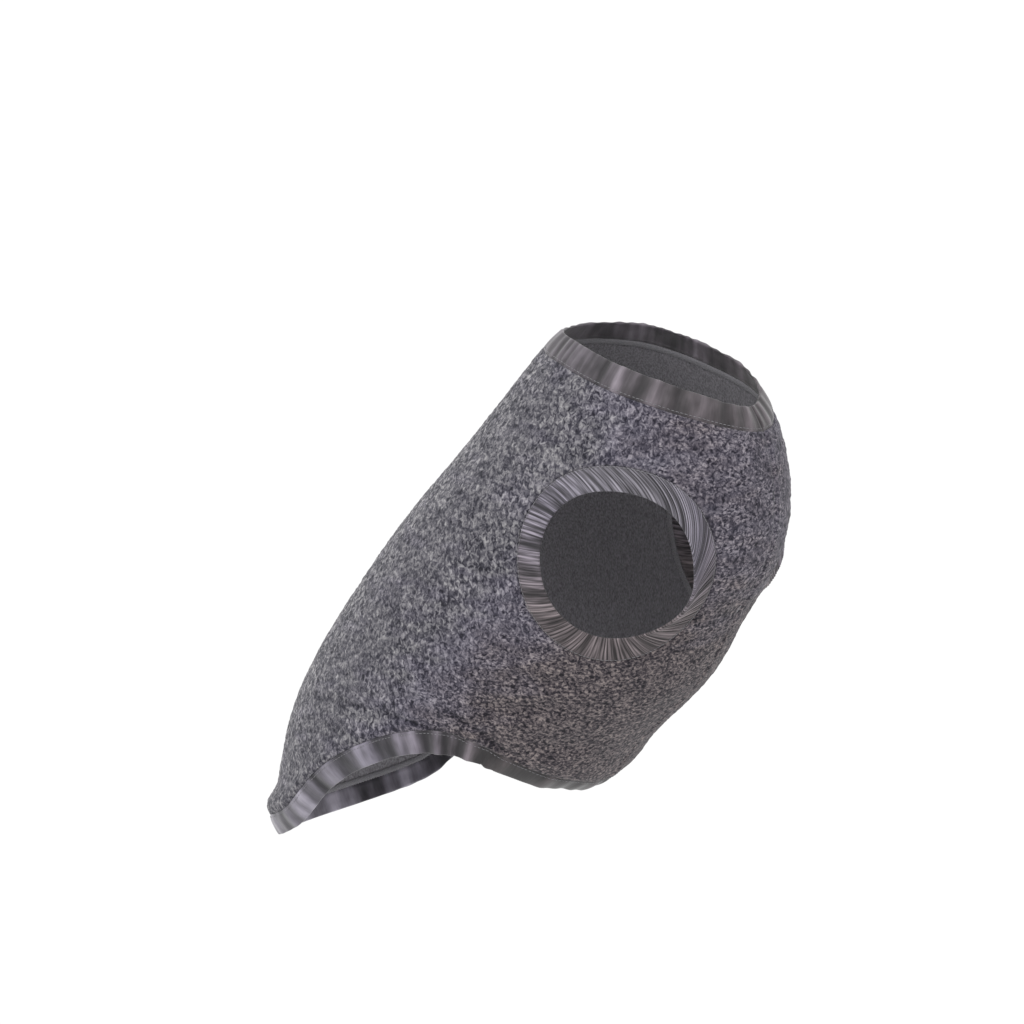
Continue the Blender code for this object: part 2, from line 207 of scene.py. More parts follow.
# Soft waves of the bands: ridges, or hollows where height is negative
Wave = namedtuple("Wave", "degrees height width")
HEM_WAVES = (
    Wave(-172, 0.8, 4),
    Wave(-158, -0.9, 4),
    Wave(-147, 0.8, 3),
    Wave(-136, -0.9, 3),
    Wave(-126, 1.1, 2.5),
    Wave(-119, -1.5, 1.8),
    Wave(-112.5, 1.4, 2),
    Wave(-108.5, -1.2, 1.3),
    Wave(-103.5, -0.9, 1.1),
    Wave(-101, 1.0, 1.3),
    Wave(-97.5, -1.3, 1.6),
    Wave(-92, 1.2, 2.2),
    Wave(-84.5, -1.3, 1.8),
    Wave(-79.5, 1.4, 2),
    Wave(-73.5, -1.4, 1.7),
    Wave(-69, 1.0, 1.3),
    Wave(-65, -1.3, 1.2),
    Wave(-59, 1.3, 2.2),
    Wave(-48, -1.1, 3),
    Wave(-35, 0.9, 4),
    Wave(-22, -1.0, 4),
    Wave(-8, 0.8, 4),
    Wave(0, 1.5, 18),
    Wave(7, -1.1, 4),
    Wave(19, 0.9, 4),
    Wave(33, -0.9, 4),
    Wave(46, 1.1, 3),
    Wave(57, -1.2, 2),
    Wave(63, 1.2, 1.6),
    Wave(69, -1.2, 1.4),
    Wave(75, 1.3, 1.8),
    Wave(82, -1.1, 2),
    Wave(89, 1.0, 2),
    Wave(96, -1.4, 1.8),
    Wave(102, 1.1, 1.5),
    Wave(107, -1.0, 1.4),
    Wave(113, 1.2, 2),
    Wave(121, -1.2, 2),
    Wave(130, 0.9, 3),
    Wave(143, -1.0, 3),
    Wave(155, 0.9, 4),
    Wave(168, -0.8, 4),
    Wave(180, -1.0, 0.6),
)
NECK_WAVES = (
    Wave(-168, 0.7, 4),
    Wave(-152, -0.8, 4),
    Wave(-138, 0.8, 3),
    Wave(-125, -1.0, 3),
    Wave(-114, 0.9, 2.5),
    Wave(-105.5, -1.1, 2.5),
    Wave(-95, 1.2, 3),
    Wave(-84, -1.1, 3),
    Wave(-68, 0.8, 4),
    Wave(-49, -0.9, 4),
    Wave(-31, 0.8, 5),
    Wave(-10, -0.7, 5),
    Wave(12, 0.8, 5),
    Wave(30, -0.8, 4),
    Wave(52, 0.9, 4),
    Wave(70, -1.0, 3),
    Wave(86, 1.0, 3),
    Wave(99, -0.9, 3),
    Wave(112, 0.9, 3),
    Wave(127, -0.9, 3),
    Wave(143, 0.8, 4),
    Wave(160, -0.7, 4),
    Wave(180, -1.0, 0.9),
)
ARMHOLE_WAVES = (
    Wave(16, 0.4, 4),
    Wave(30, -0.4, 4),
    Wave(52, 0.3, 5),
    Wave(73, -0.3, 4),
    Wave(128, 0.3, 5),
    Wave(146, -0.3, 4),
    Wave(159, 0.3, 3),
    Wave(167, -0.35, 2.5),
    Wave(176, 0.3, 3),
    Wave(184, -0.3, 2),
    Wave(191, 0.3, 3),
    Wave(199, -0.35, 2),
    Wave(208, 0.3, 4),
    Wave(219, -0.3, 3),
    Wave(270, -0.9, 1),
    Wave(322, -0.4, 4),
    Wave(339, 0.4, 4),
    Wave(355, -0.4, 4),
)

# Ribs and puckers of the bands, as many as on the solids. The seam holds them down over PINNED, and
# they fade round the free edge to FOLD_RELIEF of their height and inside to INNER_RELIEF.
ARMHOLE_RIBS = 125
RIB_HEIGHT = 0.9
RIB_ROUNDNESS = 0.8
NECK_PUCKERS = 43
HEM_PUCKERS = 58
PUCKER_HEIGHT = 0.9
PINNED = 3.5
FOLD_RELIEF = 0.2
INNER_RELIEF = 0.1

# Slow changes round a seam: of the puckers' spacing, and of the height of the puckers and of the ribs,
# each about its mean
Sway = namedtuple("Sway", "amount cycles phase")
PUCKER_DRIFT = (Sway(0.9, 3, 1.3), Sway(0.7, 8, 0.4))
PUCKER_MEAN = 0.8
PUCKER_SWAY = (Sway(0.2, 5, 2),)
RIB_MEAN = 0.75
RIB_SWAY = (Sway(0.15, 7, 1), Sway(0.1, 31, 2))

# The fleece's loops stand proud in clumps, and its edges roll down into the seams
LOOP_HEIGHT = 0.75
LOOP_SIZE = 3.6
CLUMP_HEIGHT = 0.5
CLUMP_SIZE = 11.0
EDGE_ROLL = 0.5
EDGE_REACH = 2.0
EDGE_CALM = 0.4
OVERLAP = 0.9

# The chest seam is a groove with a low ridge on each side
CHEST_SEAM_DEPTH = 1.3
CHEST_SEAM_WIDTH = 1.8
CHEST_RIDGE_HEIGHT = 0.5
CHEST_RIDGE_AWAY = 5.4
CHEST_RIDGE_WIDTH = 2.88

# The grid of the fleece's outer face. The armholes' rings lie in its cells ARMHOLE_COLUMNS and
# ARMHOLE_ROWS, and the plain inner face has one column or row for each COARSE outer ones.
COLUMNS = 432
ROWS = 240
ARMHOLE_COLUMNS = (4, 120)
ARMHOLE_ROWS = (28, 200)
OUTER_RINGS = 18
INNER_RINGS = 5
COARSE = 4

# Points to a rib, to a pucker and across a band's outer face, fold and inner face
RIB_POINTS = 6
PUCKER_POINTS = 20
OUTER_POINTS = 12
TURN_POINTS = 6
INNER_POINTS = 4

# A row of stitches along each seam, on the band just beside it. A stitch rises by STITCH_ARCH radii
# from ends that are sunk by STITCH_SINK radii and STITCH_TIP as thick as its middle.
STITCH_LENGTH = 3.1
STITCH_GAP = 0.7
STITCH_RADIUS = 0.3
STITCH_INSET = 3.2
ARMHOLE_STITCH_INSET = 1.8
STITCH_LIFT = 0.2
STITCH_ARCH = 1.6
STITCH_SINK = 0.6
STITCH_TIP = 0.45
STITCH_POINTS = 6
STITCH_SIDES = 6

# How much of a band's soft waves its stitches follow
STITCH_WAVES = 0.6

# Inside, the seam allowances are overlocked into a low cord along each seam. CORD_SWELL is how much
# thicker it is at each stitch, and the chest's cord stops CORD_END of a section short of the edges.
CORD_WIDTH = 6.0
CORD_HEIGHT = 2.4
CORD_STITCH = 2.6
CORD_SWELL = 0.14
CORD_SIDES = 10
CORD_END = 0.02

# How far from the middle of the back its own marl reaches, and how far it takes to give way
BACK_DEGREES = 35
BACK_BLEND = 40

# How much of the soft creases' depth is painted into the tone as shade in their troughs and highlight on
# their ridges, beside the sharp ones
SOFT_CREASE_SHADE = 0.14

# The fleece's painted shade, darker and browner, grows by the section, and twice by the angle from the
# back. Each growth runs from start to its full amount over reach.
Growth = namedtuple("Growth", "start reach")
LOW = Growth(3.5, 2.5)
SIDE = Growth(60, 40)
UNDER = Growth(80, 50)
UNDER_PAINTED_SHADE = 0.55
LOW_PAINTED_SHADE = 0.45
SIDE_PAINTED_SHADE = 0.25

# The browner, darker tint of the neck's and the hem's bands: the least, and how much of the fleece's
# painted shade they take on. An armhole band's is ARMHOLE_TINT half way up, and ARMHOLE_PAINTED_SHADING
# less at the top and more at the bottom: painted light at the top and painted shade at the bottom.
NECK_TINT_AND_SHADE = (0.7, 0.3)
HEM_TINT_AND_SHADE = (0.2, 0.7)
ARMHOLE_TINT = 0.7
ARMHOLE_PAINTED_SHADING = 0.6

# Grain of the cloth: noise over a piece, by how much it is squeezed each way
Grain = namedtuple("Grain", "squeeze scale detail roughness distortion", defaults=(2.0, 0.5, 0.0))
CLUMPS = Grain((1, 1, 1), 70)
UPRIGHT_LOOPS = Grain((0.98, 0.98, 0.78), 305, 1.5, 0.5, 0.9)
LYING_LOOPS = Grain((1.05, 1.05, 1.4), 330, 1.5, 0.5, 0.6)
BACK_LOOPS = Grain((0.88, 0.88, 0.88), 300, 1.5, 0.5, 0.8)
LOOSE_FIBRES = Grain((1, 1, 1), 850, 1.0)
SHADE_DRIFT = Grain((0.6, 0.6, 1.9), 36)
PLAIN_KNIT = Grain((1, 1, 0.5), 800, 1.0)
THREAD_TWIST = Grain((1, 1, 1), 1500, 1.0)

# Colours by tone, from dark yarn to pale
MARL = (
    (0.26, (0.009, 0.009, 0.014)),
    (0.38, (0.031, 0.031, 0.041)),
    (0.50, (0.086, 0.085, 0.096)),
    (0.62, (0.174, 0.173, 0.180)),
    (0.77, (0.308, 0.308, 0.304)),
)
RIB_GREYS = (
    (0.20, (0.022, 0.022, 0.024)),
    (0.36, (0.055, 0.054, 0.058)),
    (0.50, (0.112, 0.110, 0.119)),
    (0.64, (0.200, 0.197, 0.212)),
    (0.80, (0.320, 0.315, 0.337)),
)
PLAIN_GREYS = (
    (0.3, (0.11, 0.106, 0.116)),
    (0.7, (0.22, 0.212, 0.23)),
)
THREAD_GREYS = (
    (0.3, (0.12, 0.117, 0.128)),
    (0.7, (0.23, 0.224, 0.24)),
)

# What the greys are multiplied by, by the tint and painted shade: violet, and then brown and darker where
# shade is painted
SHADE_TINTS = (
    (0.00, (1.01, 0.98, 1.01)),
    (0.30, (1.00, 0.94, 1.08)),
    (0.60, (0.94, 0.85, 0.95)),
    (1.00, (0.80, 0.68, 0.665)),
)
CLOTH_SPECULAR = 0.25
SHEEN_ROUGHNESS = 0.5

# Streaks of tone in a band: how far apart and how long they are in metres, and how strong
Streak = namedtuple("Streak", "pitch length weight")
SOFT_STREAK = Streak(0.012, 0.024, 0.55)
SOFT_YARN = Streak(0.0018, 0.02, 0.14)
RIB_STREAK = Streak(0.0046, 0.06, 0.65)
RIB_YARN = Streak(0.0017, 0.05, 1.35)

# A band's knit. contrast is how much darker its grooves and hollows are painted, as shade, and its ridges
# lighter, middle its usual tone, and shade how much its tone changes with its painted shade, darker where
# negative. The relief of a band is WAVE_MIDDLE on the whole.
Knit = namedtuple("Knit", "streak yarn contrast middle shade roughness")
NECK_KNIT = Knit(SOFT_STREAK, SOFT_YARN, 0.15, 0.41, 0.0, 0.42)
HEM_KNIT = Knit(SOFT_STREAK, SOFT_YARN, 0.165, 0.555, -0.27, 0.42)
ARMHOLE_KNIT = Knit(RIB_STREAK, RIB_YARN, 0.30, 0.475, 0.0, 0.55)
WAVE_MIDDLE = 0.45

# The camera looks at AIM from DISTANCE. Angles go round from the wearer's right towards its front.
AIM = (-19, 0, -113)
AZIMUTH = 35.0
ELEVATION = 11.0
DISTANCE = 2600.0
LENS = 105.68
FARTHEST = 1000.0

# The floor's height, its size in metres and its grey, and the light
FLOOR = -2400.0
FLOOR_SIZE = 400.0
FLOOR_GREY = 0.71
KEY_AZIMUTH = -8.0
KEY_ELEVATION = 58.0
KEY_STRENGTH = 1.8
KEY_SPREAD = 90.0
WORLD_STRENGTH = 0.95


def spline(knots, values, repeats=False):
    """A function through the values at the knots, smooth to its second derivative."""
    knots = np.asarray(knots, float)
    values = np.asarray(values, float).reshape(len(knots), -1)
    if repeats:
        period = knots[-1] - knots[0]
        knots = np.concatenate([knots[:-1] - period, knots, knots[1:] + period])
        values = np.concatenate([values[:-1], values, values[1:]])
    count = len(knots)
    step = np.diff(knots)
    slope = np.diff(values, axis=0) / step[:, None]
    matrix = np.eye(count)
    right = np.zeros_like(values)
    for i in range(1, count - 1):
        matrix[i, i - 1 : i + 2] = step[i - 1], 2 * (step[i - 1] + step[i]), step[i]
        right[i] = 6 * (slope[i] - slope[i - 1])
    bend = np.linalg.solve(matrix, right)

    def at(where):
        where = np.asarray(where, float)
        i = np.clip(np.searchsorted(knots, where) - 1, 0, count - 2)
        width = step[i][..., None]
        after = (where - knots[i])[..., None]
        before = width - after
        line = values[i] * before + values[i + 1] * after
        curve = bend[i] * before * (before**2 - width**2) + bend[i + 1] * after * (after**2 - width**2)
        return (line + curve / 6) / width

    return at


def both_sides(rows):
    """A function of around that runs through a table's rows on both sides of the back."""
    table = np.array(rows, float)
    mirrored = np.concatenate([table[:0:-1], table])
    mirrored[: len(table) - 1, 0] *= -1
    curve = spline(np.radians(mirrored[:, 0]), mirrored[:, 1:], repeats=True)
    return lambda around: curve((np.asarray(around) + np.pi) % (2 * np.pi) - np.pi)


section_at = spline(range(len(SECTIONS)), SECTIONS)
edges_at = both_sides(EDGES)
curls_at = both_sides(CURLS)
swells_at = both_sides(SWELLS)
armhole_edges = np.array(ARMHOLE_EDGES, float)
armhole_edge_at = spline(np.radians(armhole_edges[:, 0]), armhole_edges[:, 1:], repeats=True)


def trunk(along, around):
    """Points of the smooth trunk that the vest is cut to fit."""
    section = np.moveaxis(section_at(along), -1, 0)
    back_x, back_z, chest_x, chest_z, half_width, squareness, taper = section
    deep = np.cos(around)
    wide = np.sin(around)
    power = 2 + squareness
    reach = (np.abs(deep) ** power + np.abs(wide) ** power) ** (-1 / power)
    deep = deep * reach
    wide = wide * reach * (1 + taper * deep)
    x = (back_x + chest_x) / 2 + deep * (back_x - chest_x) / 2
    z = (back_z + chest_z) / 2 + deep * (back_z - chest_z) / 2
    return np.stack([x, wide * half_width, z], axis=-1)


def slopes(face, along, around, step=1e-4):
    """How a face's points move with along and with around."""
    down = face(along + step, around) - face(along - step, around)
    across = face(along, around + step) - face(along, around - step)
    return down / (2 * step), across / (2 * step)


def unit(vectors):
    return vectors / np.linalg.norm(vectors, axis=-1, keepdims=True)


def facing(face, along, around):
    """Unit normals of a face, pointing away from the wearer."""
    down, across = slopes(face, along, around)
    return unit(np.cross(across, down))


def folded(along, around, folds):
    """How far folds raise the cloth."""
    height = np.zeros(np.broadcast(along, around).shape)
    for fold in folds:
        down = (along - fold.along) * SECTION_SPACING
        degrees = (np.degrees(around) - fold.degrees + 180) % 360 - 180
        place = np.stack(np.broadcast_arrays(down, degrees * DEGREE_SPACING), axis=-1)
        run = np.array([fold.to_along - fold.along, 0]) * SECTION_SPACING
        run[1] = (fold.to_degrees - fold.degrees) * DEGREE_SPACING
        share = np.clip(place @ run / (run @ run), 0, 1)
        away = np.linalg.norm(place - share[..., None] * run, axis=-1)
        depth = fold.depth * np.sin(np.pi * (FOLD_START + FOLD_RUN * share))
        height = height + depth * np.exp(-((away / fold.width) ** 2))
    return height


def relief(along, around):
    """How far the fleece stands out from the trunk: its swell over the hem band, and its main folds."""
    above_hem = (edges_at(around)[..., 1] - along) * SECTION_SPACING
    swell = swells_at(around)[..., 0] * np.exp(-(((above_hem - SWELL_PEAK) / SWELL_REACH) ** 2))
    return swell + folded(along, around, SOLID_FOLDS)


def fleece(along, around):
    """Points of the outer face of the fleece."""
    return trunk(along, around) + relief(along, around)[..., None] * facing(trunk, along, around)


def walk(along, around, heading, distance, steps=24):
    """Where walks from one place over the trunk end, each in its heading for its distance."""
    along = np.full(len(heading), float(along))
    around = np.full(len(heading), float(around))
    for _ in range(steps):
        down, across = slopes(trunk, along, around)
        normal = unit(np.cross(across, down))
        level = unit(heading - (heading * normal).sum(-1, keepdims=True) * normal)
        ahead = level * distance[:, None] / steps
        down_down = (down * down).sum(-1)
        down_across = (down * across).sum(-1)
        across_across = (across * across).sum(-1)
        by_down = (ahead * down).sum(-1)
        by_across = (ahead * across).sum(-1)
        area = down_down * across_across - down_across**2
        along = along + (across_across * by_down - down_across * by_across) / area
        around = around + (down_down * by_across - down_across * by_down) / area
    return along, around


def neck_seam(turn):
    return edges_at(turn)[..., 0], turn


def hem_seam(turn):
    return edges_at(turn)[..., 1], turn


def armhole_axes():
    """The middle of the armhole on the wearer's right, and the ways forward and up on the cloth there."""
    along, around = np.array(ARMHOLE_ALONG), -np.radians(ARMHOLE_DEGREES)
    normal = facing(trunk, along, around)
    up = unit(np.array([0, 0, 1]) - normal[2] * normal)
    return trunk(along, around), np.cross(up, normal), up


def armhole_seam(side):
    """An armhole's seam, as a function of the angle from the front. side is 1 on the left, -1 right."""

    def seam(turn):
        _, forward, up = armhole_axes()
        heading = np.cos(turn)[:, None] * forward + np.sin(turn)[:, None] * up
        radius = armhole_edge_at(turn % (2 * np.pi))[..., 0]
        along, around = walk(ARMHOLE_ALONG, -np.radians(ARMHOLE_DEGREES), heading, radius)
        return along, -side * around

    return seam


def armhole_angle(along, around, side):
    """The angle from the front at which a place lies from the middle of its armhole."""
    middle, forward, up = armhole_axes()
    offset = trunk(along, -side * around) - middle
    return np.arctan2(offset @ up, offset @ forward)


def seam_frame(seam, turn, sign):
    """A seam's points, its normals, and the ways from it that lie along the cloth on one side."""
    normal = facing(fleece, *seam(turn))
    tangent = fleece(*seam(turn + SMALL_TURN)) - fleece(*seam(turn - SMALL_TURN))
    return fleece(*seam(turn)), normal, sign * unit(np.cross(tangent, normal))


def strip(seam, turn, across, curl, sign):
    """Points and normals of a band at a distance across it from its seam. curl is per millimetre."""
    start, normal, away = seam_frame(seam, turn, sign)
    turned = (curl * across)[..., None]
    curl = curl[..., None]
    point = start + away * np.sin(turned) / curl - normal * (1 - np.cos(turned)) / curl
    return point, normal * np.cos(turned) + away * np.sin(turned)


def edge_curl(column, width):
    """A function that gives an edge band's curl per millimetre at a turn, from a column of CURLS."""
    return lambda turn: np.radians(curls_at(turn)[..., column]) / width


def armhole_curl(turn):
    return np.radians(armhole_edge_at(turn % (2 * np.pi))[..., 2]) / ARMHOLE_BAND


# How a band leaves its seam. sign is the side of the seam that it lies on.
Edging = namedtuple("Edging", "seam width sign curl")
NECK = Edging(neck_seam, NECK_BAND, 1, edge_curl(0, NECK_BAND))
HEM = Edging(hem_seam, HEM_BAND, -1, edge_curl(1, HEM_BAND))
ARMHOLE_RIGHT = Edging(armhole_seam(-1), ARMHOLE_BAND, -1, armhole_curl)
ARMHOLE_LEFT = Edging(armhole_seam(1), ARMHOLE_BAND, 1, armhole_curl)


def seam_lengths(face, seam):
    """Turns round a seam, and how long it is on a face as far as each of them."""
    turn = np.linspace(-np.pi, np.pi, SEAM_POINTS)
    steps = np.linalg.norm(np.diff(face(*seam(turn)), axis=0), axis=1)
    return turn, np.concatenate([[0], np.cumsum(steps)])


def evenly(seam, count):
    """Turns that part a seam into equal lengths."""
    turn, length = seam_lengths(trunk, seam)
    return np.interp(np.arange(count) * length[-1] / count, length, turn)


def grid_quads(numbers):
    """Faces between the neighbouring rows and columns of a grid of corner numbers."""
    upper = numbers[:-1, :-1], numbers[:-1, 1:]
    lower = numbers[1:, 1:], numbers[1:, :-1]
    return np.stack(upper + lower, axis=-1)


class Grid:
    """One face of the fleece: its corners as places, its faces, and the corners along its edges."""

    def __init__(self, coarse, rings):
        self.places = np.empty((0, 2))
        self.coarse = coarse
        self.columns = COLUMNS // coarse
        turns = evenly(hem_seam, self.columns)
        edge = edges_at(turns)
        rows = np.linspace(0, 1, ROWS // coarse + 1)[:, None]
        along = edge[:, 0] + rows * (edge[:, 1] - edge[:, 0])
        grid = self.add(along, np.broadcast_to(turns, along.shape))
        self.grid = np.concatenate([grid, grid[:, :1]], axis=1)
        cells = grid_quads(self.grid)
        kept = np.ones(cells.shape[:2], bool)
        for side in (-1, 1):
            top, bottom, first, last = self.span(side)
            kept[top:bottom, first:last] = False
        self.faces = [cells[kept]]
        self.edges = {"neck": grid[0], "hem": grid[-1][::-1]}
        self.beside = {"neck": grid[1], "hem": grid[-2][::-1]}
        self.edges["right"], self.beside["right"] = self.ring(-1, rings)
        self.edges["left"], self.beside["left"] = self.ring(1, rings)

    def add(self, along, around):
        """Adds corners and gives their numbers, in the shape of along."""
        numbers = len(self.places) + np.arange(along.size).reshape(along.shape)
        self.places = np.concatenate([self.places, np.stack([along.ravel(), around.ravel()], axis=1)])
        return numbers

    def span(self, side):
        """The rows and columns of an armhole's hole in the grid."""
        top, bottom = (row // self.coarse for row in ARMHOLE_ROWS)
        first, last = (column // self.coarse for column in ARMHOLE_COLUMNS)
        if side > 0:
            first, last = self.columns - last, self.columns - first
        return top, bottom, first, last

    def ring(self, side, rings):
        """Fills the grid's hole as far as the armhole's seam. It gives the last two rings' corners."""
        top, bottom, first, last = self.span(side)
        grid = self.grid
        upper = grid[top, first:last], grid[top:bottom, last]
        lower = grid[bottom, last:first:-1], grid[bottom:top:-1, first]
        hole = np.concatenate(upper + lower)
        place = self.places[hole]
        turns = np.unwrap(armhole_angle(*place.T, side))
        even = turns[0] - side * 2 * np.pi * np.arange(len(turns)) / len(turns)
        edge = np.stack(armhole_seam(side)((turns + even) / 2), axis=1)
        shares = np.linspace(0, 1, rings + 1)[1:, None, None]
        within = place + shares * (edge - place)
        numbers = np.concatenate([hole[None], self.add(within[..., 0], within[..., 1])])
        wrapped = np.concatenate([numbers, numbers[:, :1]], axis=1)
        self.faces.append(grid_quads(wrapped).reshape(-1, 4))
        return numbers[-1][::-1], numbers[-2][::-1]


def seam_distances(points, seams):
    """How far each point is from the nearest seam point."""
    tree = kdtree.KDTree(len(seams))
    for i, point in enumerate(seams):
        tree.insert(point, i)
    tree.balance()
    return np.array([tree.find(point)[2] for point in points])


def loops(points):
    """Heights of the fleece's loops and clumps at these points."""
    curls = [noise.noise(Vector(point / LOOP_SIZE)) for point in points]
    clumps = [noise.noise(Vector(point / CLUMP_SIZE)) for point in points]
    return LOOP_HEIGHT * np.array(curls) + CLUMP_HEIGHT * np.array(clumps)


def chest_seam(along, around, points):
    """The groove where the fleece is sewn to itself under the chest, with a low ridge on each side."""
    away = np.abs(points[:, 1])
    groove = -CHEST_SEAM_DEPTH * np.exp(-((away / CHEST_SEAM_WIDTH) ** 2))
    ridge = CHEST_RIDGE_HEIGHT * np.exp(-(((away - CHEST_RIDGE_AWAY) / CHEST_RIDGE_WIDTH) ** 2))
    return np.where(np.abs(around) > np.pi / 2, groove + ridge, 0)


def outer_fleece(grid):
    """The outer points of the fleece, with its creases, loops, rolled edges and seam."""
    along, around = grid.places.T
    points = fleece(along, around)
    seams = np.concatenate([points[edge] for edge in grid.edges.values()])
    distance = seam_distances(points, seams)
    calm = 1 - (1 - EDGE_CALM) * np.exp(-((distance / EDGE_REACH) ** 2))
    height = folded(along, around, SHARP_CREASES + CREASES) + chest_seam(along, around, points)
    height = height + loops(points)
    height = height * calm - EDGE_ROLL * np.exp(-((distance / EDGE_REACH) ** 2))
    raised = points + height[:, None] * facing(fleece, along, around)
    for key, edge in grid.edges.items():
        raised[edge] += OVERLAP * unit(points[edge] - points[grid.beside[key]])
    return raised


def rise(value, start, reach):
    """0 up to start, and from there evenly to 1 over reach."""
    return np.clip((value - start) / reach, 0, 1)


def tint_and_painted_shade(along, around):
    """From 0 at the back to about 1 under the belly, where the marl is painted darker and browner:
    painted shade.
    """
    degrees = np.degrees(np.abs(around))
    low = rise(along, *LOW)
    under = rise(degrees, *UNDER) * (UNDER_PAINTED_SHADE + LOW_PAINTED_SHADE * low)
    return under + SIDE_PAINTED_SHADE * low * rise(degrees, *SIDE)


def add_object(name, points, faces, material, replaces):
    """A smooth mesh that rides on the vest. faces is a list of arrays of faces with as many corners."""
    mesh = bpy.data.meshes.new(name)
    corners = np.concatenate([np.asarray(part).ravel() for part in faces])
    sizes = np.concatenate([np.full(len(part), len(part[0])) for part in faces])
    mesh.vertices.add(len(points))
    mesh.vertices.foreach_set("co", (points * MM).astype(np.float32).ravel())
    mesh.loops.add(len(corners))
    mesh.loops.foreach_set("vertex_index", corners.astype(np.int32))
    mesh.polygons.add(len(sizes))
    mesh.polygons.foreach_set("loop_start", (np.cumsum(sizes) - sizes).astype(np.int32))
    mesh.update(calc_edges=True)
    mesh.shade_smooth()
    mesh.materials.append(material)
    piece = bpy.data.objects.new(name, mesh)
    bpy.context.scene.collection.objects.link(piece)
    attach(piece, "root")
    if replaces:
        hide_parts(replaces)
    return piece


def add_values(piece, name, values):
    """A number for each point of a piece, which its material reads."""
    attribute = piece.data.attributes.new(name, "FLOAT", "POINT")
    attribute.data.foreach_set("value", values.astype(np.float32))


def add_fleece(material):
    """The fleece: a fine outer face, a plain inner one, and rims that join their edges."""
    outer = Grid(1, OUTER_RINGS)
    inner = Grid(COARSE, INNER_RINGS)
    count = len(outer.places)
    inside = fleece(*inner.places.T)
    inside = inside - FLEECE * facing(fleece, *inner.places.T)
    rims = []
    for key, fine in outer.edges.items():
        plain = inner.edges[key] + count
        start = 0 if key == "neck" else 1 - COARSE
        fine = np.roll(fine, start)
        steps = [np.roll(fine, -i)[::COARSE] for i in range(COARSE + 1)]
        rims.append(np.stack([*steps[::-1], plain, np.roll(plain, -1)], axis=1))
    faces = [np.concatenate(outer.faces), np.concatenate(inner.faces)[:, ::-1] + count, *rims]
    points = np.concatenate([outer_fleece(outer), inside])
    piece = add_object("fleece_body", points, faces, material, "body")
    along, around = np.concatenate([outer.places, inner.places]).T
    # Painted shade: a mask that makes the marl darker and browner towards the belly
    add_values(piece, "tint_and_painted_shade", tint_and_painted_shade(along, around))
    add_values(piece, "back", 1 - rise(np.degrees(np.abs(around)), BACK_DEGREES, BACK_BLEND))
    inward = np.arange(len(points)) >= count
    add_values(piece, "inside", inward.astype(float))
    # Painted shade in the troughs of the creases and folds, painted highlight on their ridges
    soft = folded(along, around, CREASES + SOLID_FOLDS)
    add_values(piece, "crease_shade", folded(along, around, SHARP_CREASES) + SOFT_CREASE_SHADE * soft)
    return piece


def cord_around(points, beside, normal):
    """Corners round an overlocked cord: for each point, the ring of them across the cord."""
    angle = np.arange(CORD_SIDES) * 2 * np.pi / CORD_SIDES
    size = 1 + CORD_SWELL * (-1) ** np.arange(len(points))[:, None, None]
    across = CORD_WIDTH / 2 * np.cos(angle)[:, None] * beside[:, None]
    out = CORD_HEIGHT / 2 * np.sin(angle)[:, None] * normal[:, None]
    return points[:, None] + size * (across + out)


def add_seam_cord(name, edging, material):
    """The overlocked cord inside a round seam."""
    _, length = seam_lengths(trunk, edging.seam)
    turns = evenly(edging.seam, 2 * int(length[-1] / CORD_STITCH))
    point, normal, beside = seam_frame(edging.seam, turns, edging.sign)
    rings = cord_around(point - FLEECE * normal, beside, normal)
    numbers = np.arange(rings.shape[0] * CORD_SIDES).reshape(rings.shape[:2])
    quads = grid_quads(np.pad(numbers, ((0, 1), (0, 1)), mode="wrap")).reshape(-1, 4)
    quads = quads[:, ::-1] if edging.sign > 0 else quads
    return add_object(name, rings.reshape(-1, 3), [quads], material, None)


def add_chest_cord(name, material):
    """The overlocked cord inside the seam under the chest, from the neck to the hem."""
    neck, hem = edges_at(np.pi)
    count = 2 * int((hem - neck) * SECTION_SPACING / CORD_STITCH)
    along = np.linspace(neck + CORD_END, hem - CORD_END, count)
    around = np.full(count, np.pi)
    normal = facing(fleece, along, around)
    _, beside = slopes(fleece, along, around)
    rings = cord_around(fleece(along, around) - FLEECE * normal, -unit(beside), normal)
    numbers = np.arange(count * CORD_SIDES).reshape(count, CORD_SIDES)
    quads = grid_quads(np.pad(numbers, ((0, 0), (0, 1)), mode="wrap")).reshape(-1, 4)
    caps = np.stack([numbers[0, ::-1], numbers[-1]])
    return add_object(name, rings.reshape(-1, 3), [quads, caps], material, None)


def profile(width):
    """Across a band's cloth: how far across each point is, how deep, and how much relief it takes."""
    radius = BAND_CLOTH / 2
    flat = np.linspace(SEAM_GAP, width - radius, OUTER_POINTS)
    angle = np.linspace(0, np.pi, TURN_POINTS + 2)[1:-1]
    back = np.linspace(width - radius, SEAM_GAP, INNER_POINTS)
    across = np.concatenate([flat, width - radius + radius * np.sin(angle), back])
    deep = np.concatenate([0 * flat, radius * (1 - np.cos(angle)), 0 * back + BAND_CLOTH])
    free = 1 - np.exp(-((flat / PINNED) ** 2))
    fold = 1 - (1 - FOLD_RELIEF) * angle / np.pi
    share = np.concatenate([free, fold, 0 * back + INNER_RELIEF])
    return across, deep, share


